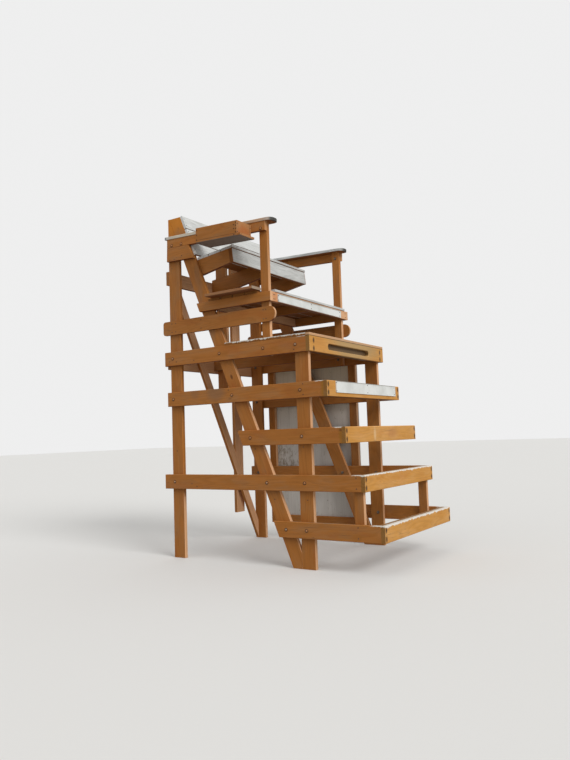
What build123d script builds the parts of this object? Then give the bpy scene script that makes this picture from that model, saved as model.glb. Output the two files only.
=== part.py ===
from build123d import *
import math
import os

# Timber lifeguard tower, a seat on a climbing frame of sawn boards.
# While the pieces are made, x = 0 is the rear end of the long side boards and x runs
# forwards, y = 0 is the outer face of the right side frame and y runs to the left one,
# and z = 0 is the level of the feet. At the end all is moved so that the origin is the
# bottom centre of the whole tower.

# Timber sections
plank = 38.0              # thickness of the framing timber
wide = 140.0              # width of the wide framing boards
narrow = 89.0             # width of the narrow framing boards
decking = 25.0            # thickness of deck, seat and backrest boards
eased = 3.0               # chamfer on the long edges of every board
worn = 9.0                # rounding of the top front edge that feet have worn
board_gap = 8.0           # gap between boards of a deck

# Frame
frame_width = 1490.0      # over the outer faces of the two side frames
step_rise = 406.0
step_run = 161.0
platform_front_x = 1704.0  # front face of the platform's front board
rear_overhang = 40.0      # the platform's side boards run past the rear posts by this
step_4_short = 28.0       # the step 4 side board ends short of the platform's by this
step_2_long = 26.0        # the step 2 side board runs past it by this
leg_foot_lap = 58.0       # at the foot a raking leg laps the front post's rear edge by this
leg_top_x = 206.0         # front edge of a raking leg at its top
step_3_lap = 50.0         # the step 3 side board runs past the rear edge of the leg
step_1_lap = 4.0

# Heights above the top of the platform's side boards
sign_up = 174.0           # lower edge of the sign boards
shelf_up = 449.0          # top of the foot shelf beams
seat_up = 955.0           # top of the seat beams at the front
lower_rail_down = 30.0    # top of the lower back rail, below the platform
panel_down = 40.0         # top of the side panel, below the platform

# Heights above the front of the seat beams
arm_over_seat = 155.0     # middle of the arm beam at its rear end
leg_over_seat = 419.0     # top of the right raking leg
upper_rail_under_seat = 119.0
upright_over_leg = 96.0   # the upright stands above the right leg's top by this

# Middle frame, behind and under the deck boards
post_foot_down = 390.0    # foot of the middle post, below the platform
post_ahead = 22.0         # the middle post stands ahead of the rear posts by this

# Platform
slot_length = 830.0
slot_height = 56.0
slot_centre_up = 64.0     # above the lower edge of the platform's front board
slot_ease = 4.0
slot_ease_angle = 45.0
post_notch = 2.0          # clearance of the deck round the arm posts
deck_board_wish = 145.0   # wanted width of a platform deck board

# Seat
seat_front_x = 820.0
seat_tilt = 6.8           # degrees, front up
seat_taper = 3.7          # degrees, more slope on the lower edge of the seat beams
seat_boards = 3
seat_board = 141.0
seat_nose = 10.0          # overhang of the seat deck past its front board
back_boards = 3
back_board = 148.0
back_clear = 12.0         # gap from the backrest down to the seat deck

# Arms
arm_rear_x = 57.0
arm_end = 2.0             # the arm beam runs past the front of the arm post by this
arm_tilt = 2.05           # degrees, front down
cap_thick = 28.0
cap_width = 140.0
cap_outside = 6.0         # the cap's overhang past the beam's outer face
cap_rear = 26.0           # the cap's overhang past the beam's rear end
cap_front = 74.0          # the cap's overhang past the beam's front end
cap_nose = 60.0           # corner rounding at the front of the cap
cap_relief = 12.0         # gap from the backrest to the inner part of the cap
gusset_lap = 4.0          # the gusset runs past the front edge of the leg
arm_post_front_x = 1269.0

# Gear box on the right arm
box_length = 485.0
box_width = 220.0
box_height = 140.0
box_wall = 19.0
box_rear_x = 630.0
box_drop = 49.0           # middle of the box below the middle of the arm beam
box_lip = 40.0            # the bottom board runs past the box's front by this

# Foot shelf
shelf_boards = 5
shelf_nose = 6.0
side_shelf_out = 102.0    # its outer edge stands out from the right beam by this
side_shelf_rear = 38.0    # its rear end stands ahead of the raking leg by this

# Sign boards
sign_thick = 25.0
sign_rear_x = -27.0
sign_tip_x = 1345.0
sign_flat = 1.0           # flat left in the middle of the round front end
sign_corner = 28.0

# Back of the tower
brace_under_rail = 101.0  # middle of the brace at the right rear post, below the rail's top
brace_foot_z = 110.0      # middle of the brace at the left rear post
upright_y = 1190.0        # middle of the upright
upright_foot_z = 313.0

# Panel on the left side
panel_rear_x = 218.0
panel_front_x = 1369.0
panel_foot_z = 169.0
panel_sheet = 12.0

# Values that follow from those above
levels = ["platform", "step_4", "step_3", "step_2", "step_1"]
hanger_index = levels.index("step_2")
platform_z = len(levels) * step_rise
front_post_x = platform_front_x - plank - wide
leg_foot_x = front_post_x + leg_foot_lap
sign_bottom_z = platform_z + sign_up
shelf_top_z = platform_z + shelf_up
seat_front_z = platform_z + seat_up
lower_rail_top_z = platform_z - lower_rail_down
panel_top_z = platform_z - panel_down
arm_rear_z = seat_front_z + arm_over_seat
leg_top_z = seat_front_z + leg_over_seat
upper_rail_top_z = seat_front_z - upper_rail_under_seat
brace_top_z = upper_rail_top_z - brace_under_rail
upright_top_z = leg_top_z + upright_over_leg
cut_reach = upright_top_z  # size of the shapes that cut pieces off
rake = (leg_foot_x - leg_top_x) / leg_top_z
rake_angle = math.degrees(math.atan(rake))
leg_across = wide / math.cos(math.radians(rake_angle))
arm_front_x = arm_post_front_x + arm_end
shelf_front_x = arm_post_front_x + plank
arm_post_rear_x = arm_post_front_x - narrow
inner_y = 2 * plank
far_y = frame_width
middle_y0 = (far_y - plank) / 2
middle_y1 = (far_y + plank) / 2


def level_top(index):
    return platform_z - index * step_rise


def level_front(index):
    return platform_front_x + index * step_run


def leg_front(z):
    return leg_foot_x - rake * z


def leg_rear(z):
    return leg_front(z) - leg_across


shelf_bearer_x = leg_front(shelf_top_z - narrow)


def block(x, y, z):
    size = (x[1] - x[0], y[1] - y[0], z[1] - z[0])
    return Pos(x[0], y[0], z[0]) * Box(*size, align=(Align.MIN, Align.MIN, Align.MIN))


def timber(along, x, y, z):
    # a board with its four long edges eased
    body = block(x, y, z)
    return chamfer(body.edges().filter_by(along), eased)


def side_profile(points, y):
    # a flat piece drawn in x and z and given its thickness along y
    face = make_face(Plane.XZ * Polyline(*points, close=True))
    depth = y[1] - y[0]
    return Pos(0, y[1], 0) * extrude(face, amount=depth)


def mirrored(body):
    # the same piece on the left side frame
    return Pos(0, far_y, 0) * mirror(body, about=Plane.XZ)


def both_sides(body):
    return Compound(children=[body, mirrored(body)])


def tilted(body, x, z, degrees):
    # degrees above zero lower the front
    return body.rotate(Axis((x, 0, z), (0, 1, 0)), degrees)


def behind_leg(y, lap=0.0):
    # all that lies behind the rear edge of the raking leg
    top = leg_top_z + cut_reach
    low = (leg_rear(0) - lap, 0)
    high = (leg_rear(top) - lap, top)
    outline = [low, high, (high[0] - cut_reach, top), (low[0] - 2 * cut_reach, 0)]
    return side_profile(outline, y)


def ahead_of_leg(y, lap=0.0):
    # all that lies in front of the leg's front edge
    top = leg_top_z + cut_reach
    low = (leg_front(0) + lap, 0)
    high = (leg_front(top) + lap, top)
    return side_profile([low, (low[0] + cut_reach, 0), (low[0] + cut_reach, top), high], y)


def above(z):
    # all that lies above a height
    return block((-cut_reach, 2 * cut_reach), (-cut_reach, 2 * cut_reach), (z, z + cut_reach))


# Posts and raking legs, in the inner layer of each side frame
def rear_post(foot_z, y):
    # the top is cut off along the rear edge of the raking legs, and level with their tops
    x0 = rear_overhang
    x1 = rear_overhang + wide
    z0 = (leg_rear(0) - x0) / rake
    z1 = (leg_rear(0) - x1) / rake
    body = side_profile([(x0, foot_z), (x1, foot_z), (x1, z1), (x0, z0)], y)
    return chamfer(body.edges().filter_by(Axis.Z), eased) - above(leg_top_z)


def front_post():
    return timber(Axis.Z, (front_post_x, front_post_x + wide), (plank, inner_y), (0, platform_z))


def raking_leg():
    meet = (leg_foot_x - front_post_x) / rake
    outline = [
        (leg_rear(0), 0),
        (front_post_x, 0),
        (front_post_x, meet),
        (leg_front(leg_top_z), leg_top_z),
        (leg_rear(leg_top_z), leg_top_z),
    ]
    body = side_profile(outline, (plank, inner_y))
    return chamfer(body.edges().filter_by(Axis((0, 0, 0), (-rake, 0, 1))), eased)


# Side boards, in the outer layer: the platform, step 4 and step 2 run the whole depth,
# and step 3 and step 1 start at the raking leg
def side_board(index):
    top = level_top(index)
    rear = {"step_4": step_4_short, "step_2": -step_2_long}.get(levels[index], 0)
    body = timber(Axis.X, (rear, level_front(index) - plank), (0, plank), (top - wide, top))
    if levels[index] == "step_3":
        body -= behind_leg((-plank, inner_y), step_3_lap)
    if levels[index] == "step_1":
        body -= behind_leg((-plank, inner_y), step_1_lap)
    return body


# Front boards close the ends of the side boards, and the platform's has a hand slot
def front_board(index):
    front = level_front(index)
    top = level_top(index)
    upper = top + decking if index == 0 else top
    body = timber(Axis.Y, (front - plank, front), (0, far_y), (top - wide, upper))
    if index == 0:
        return body - hand_slot(front, top - wide)
    return worn_edge(body, front, top)


def worn_edge(body, front, top):
    # the chamfer is taken off by a larger quarter round
    corner = block((front - worn, front), (0, far_y), (top - worn, top))
    round_bar = Pos(front - worn, far_y / 2, top - worn) * Rot(90, 0, 0) * Cylinder(worn, far_y)
    return body - (corner - round_bar)


def hand_slot(front, bottom):
    # a slot with round ends, its mouth eased all round
    face = Plane.YZ * SlotOverall(slot_length, slot_height)
    through = extrude(face, amount=plank)
    mouth = Pos(plank - slot_ease, 0, 0) * extrude(face, amount=slot_ease, taper=-slot_ease_angle)
    return Pos(front - plank, far_y / 2, bottom + slot_centre_up) * (through + mouth)


def inner_board(index):
    # a second board behind each front board carries the standing edge
    front = level_front(index) - plank
    top = level_top(index)
    end = inner_y if index in (0, hanger_index) else plank
    return timber(Axis.Y, (front - plank, front), (end, far_y - end), (top - wide, top))


def step_hanger():
    # hangs the side board of the lowest step from the one above
    front = level_front(hanger_index) - plank
    z = (level_top(hanger_index + 1) - wide, level_top(hanger_index))
    return timber(Axis.Z, (front - narrow, front), (plank, inner_y), z)


# Arms, built level and then tilted about the rear end of the beam
def on_arm(body):
    return tilted(body, arm_rear_x, arm_rear_z, arm_tilt)


arm_top_z = arm_rear_z + narrow / 2
arm_under_z = arm_rear_z - narrow / 2


def arm_beam():
    return on_arm(timber(Axis.X, (arm_rear_x, arm_front_x), (0, plank), (arm_under_z, arm_top_z)))


def arm_cap():
    x = (arm_rear_x - cap_rear, arm_front_x + cap_front)
    y = (-cap_outside, cap_width - cap_outside)
    body = block(x, y, (arm_top_z, arm_top_z + cap_thick))
    nose = body.edges().filter_by(Axis.Z).group_by(Axis.X)[-1]
    body = fillet(nose, cap_nose)
    body = chamfer(body.edges().group_by(Axis.Z)[-1], eased)
    body = on_arm(body)
    # the inner part stops short of the backrest
    clear = decking / math.cos(math.radians(rake_angle)) + cap_relief
    room = block((-wide, arm_front_x), (plank, cap_width), (0, leg_top_z))
    return body - (room - ahead_of_leg((plank, cap_width), clear))


def arm_gusset():
    body = block((arm_rear_x, arm_front_x), (0, plank), (arm_under_z - wide, arm_under_z))
    body = chamfer(body.edges().filter_by(Axis.X), eased)
    return on_arm(body) - ahead_of_leg((-plank, inner_y), gusset_lap)


def arm_post():
    x = (arm_post_rear_x, arm_post_front_x)
    body = timber(Axis.Z, x, (plank, inner_y), (platform_z - wide, arm_top_z))
    return body - on_arm(above(arm_top_z))


def gear_box():
    # an open tray on the outer face of the right arm, on a longer bottom board
    x = (box_rear_x, box_rear_x + box_length)
    z = (arm_rear_z - box_drop - box_height / 2, arm_rear_z - box_drop + box_height / 2)
    body = timber(Axis.X, x, (-box_width, 0), z)
    body += block((x[1], x[1] + box_lip), (-box_width + eased, 0), (z[0], z[0] + box_wall))
    inside = block(
        (x[0] + box_wall, x[1] - box_wall),
        (-box_width + box_wall, -box_wall),
        (z[0] + box_wall, z[1] + box_wall),
    )
    return on_arm(body - inside)


# Platform deck, boards across the tower, notched round the arm posts
def platform_deck():
    rear = leg_front(platform_z) + post_notch
    front = platform_front_x - plank
    count = round((front - rear + board_gap) / (deck_board_wish + board_gap))
    pitch = (front - rear + board_gap) / count
    post_x = (arm_post_rear_x - post_notch, arm_post_front_x + post_notch)
    notch = block(post_x, (plank - post_notch, inner_y + post_notch), (platform_z, platform_z + decking))
    boards = []
    for n in range(count):
        x = rear + n * pitch
        board = timber(Axis.Y, (x, x + pitch - board_gap), (0, far_y), (platform_z, platform_z + decking))
        boards.append(board - notch - mirrored(notch))
    return Compound(children=boards)


# Seat, built level and then tilted about its front top edge
def on_seat(body):
    return tilted(body, seat_front_x, seat_front_z, -seat_tilt)


def seat_beam(y):
    # deeper at the back than at the front
    front = seat_front_x - plank
    rear_depth = wide + front * math.tan(math.radians(seat_taper))
    outline = [
        (0, seat_front_z - rear_depth),
        (front, seat_front_z - wide),
        (front, seat_front_z),
        (0, seat_front_z),
    ]
    return on_seat(side_profile(outline, y))


def seat_beams():
    # one on the inner face of each raking leg, and one in the middle back to the rail
    side = seat_beam((inner_y, inner_y + plank)) - behind_leg((plank, inner_y + 2 * plank))
    middle = seat_beam((middle_y0, middle_y1))
    middle -= block((-cut_reach, rear_overhang), (middle_y0, middle_y1), (0, leg_top_z))
    return Compound(children=[side, mirrored(side), middle])


def seat_front_board():
    x = (seat_front_x - plank, seat_front_x)
    return on_seat(timber(Axis.Y, x, (inner_y, far_y - inner_y), (seat_front_z - wide, seat_front_z)))


def seat_deck():
    boards = []
    for n in range(seat_boards):
        x = seat_front_x + seat_nose - n * (seat_board + board_gap)
        z = (seat_front_z, seat_front_z + decking)
        boards.append(on_seat(timber(Axis.Y, (x - seat_board, x), (inner_y, far_y - inner_y), z)))
    return Compound(children=boards)


def backrest():
    # boards on the front edges of the raking legs, from the top down, the last one cut off
    # above the seat deck
    deck_rear = seat_nose - seat_boards * (seat_board + board_gap) + board_gap
    deck_rear_z = seat_front_z + decking + deck_rear * math.sin(math.radians(seat_tilt))
    boards = []
    for n in range(back_boards):
        top = -n * (back_board + board_gap)
        board = timber(Axis.Y, (0, decking), (plank, far_y - plank), (top - back_board, top))
        board = Pos(leg_top_x, 0, leg_top_z) * tilted(board, 0, 0, -rake_angle)
        boards.append(board & above(deck_rear_z + back_clear))
    return Compound(children=boards)


# Foot shelf
def foot_shelf_beams():
    # the right one ends at the raking leg, and the left one runs back to the rear post
    z = (shelf_top_z - narrow, shelf_top_z)
    right = timber(Axis.X, (0, shelf_front_x), (0, plank), z) - behind_leg((-plank, inner_y))
    left = timber(Axis.X, (rear_overhang, shelf_front_x), (far_y - plank, far_y), z)
    joist_x = (shelf_bearer_x + plank, shelf_front_x - plank)
    joist = timber(Axis.X, joist_x, (middle_y0, middle_y1), z)
    return Compound(children=[right, left, joist])


def foot_shelf_front():
    x = (shelf_front_x - plank, shelf_front_x)
    return timber(Axis.Y, x, (plank, far_y - plank), (shelf_top_z - narrow, shelf_top_z))


def foot_shelf_bearer():
    # stands against the front edges of the raking legs
    x = (shelf_bearer_x, shelf_bearer_x + plank)
    return timber(Axis.Y, x, (plank, far_y - plank), (shelf_top_z - narrow, shelf_top_z))


def foot_shelf_deck():
    # the boards run out over both side beams, and the front one stops inside the arm posts
    rear = leg_front(shelf_top_z) + post_notch
    front = shelf_front_x + shelf_nose
    width = (front - rear - (shelf_boards - 1) * board_gap) / shelf_boards
    boards = []
    for n in range(shelf_boards):
        x = rear + n * (width + board_gap)
        z = (shelf_top_z, shelf_top_z + decking)
        end = 0 if x + width < arm_post_rear_x else inner_y
        boards.append(timber(Axis.Y, (x, x + width), (end, far_y - end), z))
    return Compound(children=boards)


def side_shelf():
    # a flat board along the right ends of the shelf's deck boards, back from the arm post
    rear = leg_front(shelf_top_z) + side_shelf_rear
    y = (-side_shelf_out, wide - side_shelf_out)
    z = (shelf_top_z + decking, shelf_top_z + 2 * decking)
    return timber(Axis.X, (rear, arm_post_rear_x), y, z)


# Sign boards with a half round front end
def sign_board():
    z = (sign_bottom_z, sign_bottom_z + wide)
    body = block((sign_rear_x, sign_tip_x), (plank - sign_thick, plank), z)
    ends = body.edges().filter_by(Axis.Y).group_by(Axis.X)
    body = fillet(ends[-1], (wide - sign_flat) / 2)
    ends = body.edges().filter_by(Axis.Y).group_by(Axis.X)
    return fillet(ends[0], sign_corner)


# Middle frame
def middle_post():
    # beside the middle seat beam and the platform joist, a little ahead of the back rails
    body = rear_post(platform_z - post_foot_down, (middle_y1, middle_y1 + plank))
    return Pos(post_ahead, 0, 0) * body


def platform_joist():
    x = (rear_overhang, platform_front_x - 2 * plank)
    return timber(Axis.X, x, (middle_y0, middle_y1), (platform_z - wide, platform_z))


# Back of the tower
def back_rail(top):
    x = (rear_overhang - plank, rear_overhang)
    return timber(Axis.Y, x, (plank, far_y - plank), (top - wide, top))


def back_brace():
    # from the right rear post, at the upper rail, down to the foot of the left one
    y0 = inner_y
    y1 = far_y - inner_y
    slope = (brace_top_z - brace_foot_z) / (y1 - y0)
    half = narrow / 2 / math.cos(math.atan(slope))
    outline = [
        (y0, brace_top_z - half),
        (y1, brace_foot_z - half),
        (y1, brace_foot_z + half),
        (y0, brace_top_z + half),
    ]
    face = make_face(Plane.YZ * Polyline(*outline, close=True))
    body = Pos(rear_overhang, 0, 0) * extrude(face, amount=plank)
    return chamfer(body.edges().filter_by(Axis((0, 0, 0), (0, 1, -slope))), eased)


def back_upright():
    x = (rear_overhang - 2 * plank, rear_overhang - plank)
    y = (upright_y - wide / 2, upright_y + wide / 2)
    return timber(Axis.Z, x, y, (upright_foot_z, upright_top_z))


# Panel on the outer face of the left side boards
def panel_studs():
    y = (far_y, far_y + plank)
    z = (panel_foot_z, panel_top_z)
    rear = timber(Axis.Z, (panel_rear_x, panel_rear_x + narrow), y, z)
    front = timber(Axis.Z, (panel_front_x - narrow, panel_front_x), y, z)
    return Compound(children=[rear, front])


def panel_rails():
    x = (panel_rear_x + narrow, panel_front_x - narrow)
    y = (far_y, far_y + plank)
    low = timber(Axis.X, x, y, (panel_foot_z, panel_foot_z + narrow))
    high = timber(Axis.X, x, y, (panel_top_z - narrow, panel_top_z))
    return Compound(children=[low, high])


def panel_board():
    x = (panel_rear_x, panel_front_x)
    y = (far_y + plank, far_y + plank + panel_sheet)
    return block(x, y, (panel_foot_z, panel_top_z))


frame_posts = {
    "rear_post": rear_post(0, (plank, inner_y)),
    "front_post": front_post(),
    "raking_leg": raking_leg(),
}
pieces = {}
for name, body in frame_posts.items():
    pieces["right_" + name] = body
    pieces["left_" + name] = mirrored(body)
for index, level in enumerate(levels):
    board = side_board(index)
    pieces["right_side_board_" + level] = board
    pieces["left_side_board_" + level] = mirrored(board)
    pieces["front_board_" + level] = front_board(index)
pieces["inner_boards"] = Compound(children=[inner_board(index) for index in range(len(levels))])
pieces["step_hangers"] = both_sides(step_hanger())
pieces["platform_joist"] = platform_joist()
pieces["platform_deck"] = platform_deck()
pieces["arm_posts"] = both_sides(arm_post())
pieces["arm_beams"] = both_sides(arm_beam())
pieces["arm_caps"] = both_sides(arm_cap())
pieces["arm_gussets"] = both_sides(arm_gusset())
pieces["gear_box"] = gear_box()
pieces["foot_shelf_beams"] = foot_shelf_beams()
pieces["foot_shelf_front"] = foot_shelf_front()
pieces["foot_shelf_bearer"] = foot_shelf_bearer()
pieces["foot_shelf_deck"] = foot_shelf_deck()
pieces["side_shelf"] = side_shelf()
pieces["seat_beams"] = seat_beams()
pieces["seat_front_board"] = seat_front_board()
pieces["seat_deck"] = seat_deck()
pieces["backrest"] = backrest()
pieces["sign_boards"] = both_sides(sign_board())
pieces["middle_post"] = middle_post()
pieces["upper_back_rail"] = back_rail(upper_rail_top_z)
pieces["lower_back_rail"] = back_rail(lower_rail_top_z)
pieces["back_brace"] = back_brace()
pieces["back_upright"] = back_upright()
pieces["side_panel_studs"] = panel_studs()
pieces["side_panel_rails"] = panel_rails()
pieces["side_panel_board"] = panel_board()

# The origin goes to the bottom centre of the box round the whole tower
rear_end = rear_overhang - 2 * plank
front_end = level_front(len(levels) - 1)
middle_x = (rear_end + front_end) / 2
middle_y = (far_y + plank + panel_sheet - box_width) / 2

os.makedirs("parts", exist_ok=True)
for name, body in pieces.items():
    placed = Pos(-middle_x, -middle_y, 0) * body
    export_step(placed, "parts/" + name + ".step")
print(len(pieces), "pieces, origin moved by", middle_x, middle_y)
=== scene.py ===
import math
import bpy
from mathutils import Matrix, Vector


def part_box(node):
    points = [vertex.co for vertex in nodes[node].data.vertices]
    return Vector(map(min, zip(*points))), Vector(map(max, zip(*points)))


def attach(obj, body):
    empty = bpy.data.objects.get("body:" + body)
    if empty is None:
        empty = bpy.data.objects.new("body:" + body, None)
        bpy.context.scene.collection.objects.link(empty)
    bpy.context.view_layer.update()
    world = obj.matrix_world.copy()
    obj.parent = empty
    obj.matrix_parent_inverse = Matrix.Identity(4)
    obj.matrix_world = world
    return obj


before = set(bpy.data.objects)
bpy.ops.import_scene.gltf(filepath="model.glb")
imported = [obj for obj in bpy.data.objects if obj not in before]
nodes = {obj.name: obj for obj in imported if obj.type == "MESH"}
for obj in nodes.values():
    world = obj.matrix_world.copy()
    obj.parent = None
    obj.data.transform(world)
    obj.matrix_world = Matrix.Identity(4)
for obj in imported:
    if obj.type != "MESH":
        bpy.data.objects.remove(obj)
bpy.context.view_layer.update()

# the tower's own sizes, in metres where nothing else is said
rearX, sideY = 1.156, 0.66      # from the origin back to the side boards' ends and out to the right side
middleY = 0.085                 # halfway between the two side frames
farSide = 1490                  # the left frame's outer face, in millimetres from the right one's
plank = 38                      # the boards' thickness, in millimetres
stepRise, platformZ = 0.406, 2.03
rake, seatTilt, armTilt = math.radians(22.04), math.radians(6.8), math.radians(2.05)
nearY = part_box("right_side_board_platform")[0][1]
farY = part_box("left_side_board_platform")[1][1]
levelNames = ("platform", "step_4", "step_3", "step_2", "step_1")
alongX, alongY, alongZ = (1, 0, 0), (0, 1, 0), (0, 0, 1)


def hexColour(code):
    # an sRGB hex code as linear red, green, blue and alpha
    parts = [int(code[n:n + 2], 16) / 255 for n in (1, 3, 5)]
    return [c / 12.92 if c <= 0.04045 else ((c + 0.055) / 1.055) ** 2.4 for c in parts] + [1.0]


def addNode(tree, kind, links, out=0, **settings):
    # one shader node, its settings and what goes into it: sockets, numbers or hex colours
    node = tree.nodes.new("ShaderNode" + kind)
    for key, value in settings.items():
        setattr(node, key, value)
    for key, value in links.items():
        if isinstance(value, bpy.types.NodeSocket):
            tree.links.new(value, node.inputs[key])
        else:
            node.inputs[key].default_value = hexColour(value) if isinstance(value, str) else value
    if len(node.outputs):
        return node.outputs[out]


def newMaterial(name):
    # an empty material, its tree, and the places on the piece that its patterns follow
    material = bpy.data.materials.new(name)
    material.use_nodes = True
    tree = material.node_tree
    tree.nodes.clear()
    return material, tree, addNode(tree, "TexCoord", {}, "Object")


def spot(x, y, z):
    # millimetres from the rear end of the side boards, the right frame's outer face and the floor
    return (x / 1000 - rearX, y / 1000 - sideY, z / 1000)


# Timber: every board is sawn softwood under a thick stain. What the eye gets is a nearly even
# colour with blotches, a fine fibre, a hint of long figure, a few knots and checks, and the wear
# of feet and weather on top of it, with painted sunlight on the faces towards the front and
# painted shade on the faces that look down
finishes = {
    # orange brown stain; the narrow faces towards the front are painted a pale peach as painted sunlight,
    # and faces that look down a darker red brown as painted shade
    "stainedPine": {
        "early": "#a96b2d", "late": "#996126", "rain": "#806c54", "warm": "#9c551e", "knot": "#6d4119",
        "under": "#703a12", "sun": "#dcad84", "paintedSunShare": 0.85, "rainShare": 0.30, "warmShare": 0.45,
        "figure": 0.55, "endShade": 0.85, "sunEnd": 1.0, "knots": 0.84, "roughness": 0.62, "depth": 0.25,
    },
    # the same stain, painted more golden on the boards that face the front, partly its own tone and partly
    # painted sunlight; faces that look down are darker as painted shade
    "goldenPine": {
        "early": "#c78d3f", "late": "#b67e34", "rain": "#c49c6c", "warm": "#bc7a33", "knot": "#8a5a26",
        "under": "#8a5520", "sun": "#cd9240", "paintedSunShare": 0.0, "rainShare": 0.35, "warmShare": 0.5,
        "figure": 0.5, "endShade": 0.45, "sunEnd": 1.0, "knots": 0.86, "roughness": 0.58, "depth": 0.22,
    },
    # boards bare on top, where sun and rain have bleached them to a pale silver grey with
    # raised grain, and still stained underneath; faces towards the front are a little paler as painted
    # sunlight
    "bleachedPine": {
        "early": "#bdbfbe", "late": "#a1a3a2", "rain": "#cfd1d0", "warm": "#aca69c", "knot": "#8d8579",
        "under": "#7c4718", "sun": "#cfcec8", "paintedSunShare": 0.35, "rainShare": 0.6, "warmShare": 0.35,
        "figure": 0.8, "endShade": 0.94, "sunEnd": 0.94, "knots": 0.8, "roughness": 0.86, "depth": 0.5,
    },
}
grainSize = {
    # how often each pattern repeats in a metre along the board, over its width and through it
    "figure": (0.75, 6.5, 4.5), "knot": (3.2, 6.0, 0.6), "fibre": (3.0, 150, 150),
    "blotch": (3.0, 9.0, 9.0), "check": (1.6, 42, 42),
}
ringCount = 15                  # rings in the figure's field
darkMarks = {"check": "#2a1c10", "iron": "#38200f", "nail": "#2b1a10", "seam": "#2c1a0c"}
upLeg, offLeg = (-math.sin(rake), 0, math.cos(rake)), (math.cos(rake), 0, math.sin(rake))
onSeat, upSeat = (math.cos(seatTilt), 0, math.sin(seatTilt)), (-math.sin(seatTilt), 0, math.cos(seatTilt))
onArm, upArm = (math.cos(armTilt), 0, -math.sin(armTilt)), (math.sin(armTilt), 0, math.cos(armTilt))
lies = {
    # the way a board runs and the way its wide face lies
    "side": (alongX, alongZ), "front": (alongY, alongZ), "deck": (alongY, alongX),
    "shelf": (alongX, alongY), "post": (alongZ, alongX), "upright": (alongZ, alongY),
    "leg": (upLeg, offLeg), "backrest": (alongY, upLeg), "seat": (alongY, onSeat),
    "arm": (onArm, alongZ), "cap": (onArm, alongY), "brace": ((0, 0.45, -0.893), (0, 0.893, 0.45)),
}


def grainTurn(lie):
    # turns the board's length to x, its width to y and its thickness to z
    along, across = (Vector(way).normalized() for way in lies[lie])
    return Matrix((along, across, along.cross(across))).to_euler()


def wornStrip(tree, place, facing, strip):
    # a ragged strip along an edge, worn through to bare wood: the way to the edge, where the
    # edge is, how far the wear reaches and how much of the edge it takes
    toEdge = addNode(tree, "VectorMath", {0: place, 1: strip["way"]}, "Value", operation="DOT_PRODUCT")
    drop = addNode(tree, "Math", {0: strip["edge"], 1: toEdge}, operation="SUBTRACT")
    ragged = {"Vector": place, "Scale": strip.get("scale", 16.0), "Detail": 8.0, "Roughness": 0.8}
    rag = addNode(tree, "TexNoise", ragged)
    limits = {0: rag, 1: 0.62 - strip["share"] * 0.3, 2: 0.85, 3: -0.002, 4: strip["reach"]}
    rag = addNode(tree, "MapRange", limits, clamp=False)
    bare = addNode(tree, "Math", {0: rag, 1: drop}, operation="SUBTRACT")
    bare = addNode(tree, "MapRange", {0: bare, 1: 0.0, 2: 0.002, 3: 0.0, 4: 0.95})
    if "start" in strip:
        # only the last stretch before the front end
        reached = addNode(tree, "SeparateXYZ", {0: place}, "X")
        reached = addNode(tree, "MapRange", {0: reached, 1: strip["start"], 2: strip["start"] + 0.05})
        bare = addNode(tree, "Math", {0: bare, 1: reached}, operation="MULTIPLY")
    if "only" in strip:
        # only on the faces that look this way
        seen = addNode(tree, "VectorMath", {0: facing, 1: strip["only"]}, "Value", operation="DOT_PRODUCT")
        seen = addNode(tree, "MapRange", {0: seen, 1: 0.4, 2: 0.6})
        bare = addNode(tree, "Math", {0: bare, 1: seen}, operation="MULTIPLY")
    return bare


def softPatch(tree, place, blot, centre, radii, share):
    # a soft patch of another shade at one place on a piece, its rim broken up by the blotches
    away = addNode(tree, "VectorMath", {0: place, 1: centre}, operation="SUBTRACT")
    away = addNode(tree, "VectorMath", {0: away, 1: radii}, operation="DIVIDE")
    away = addNode(tree, "VectorMath", {0: away}, "Value", operation="LENGTH")
    away = addNode(tree, "Math", {0: blot, 1: 0.9, 2: away}, operation="MULTIPLY_ADD")
    fade = {0: away, 1: 0.8, 2: 1.5, 3: share, 4: 0.0}
    return addNode(tree, "MapRange", fade, interpolation_type="SMOOTHSTEP")


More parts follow.
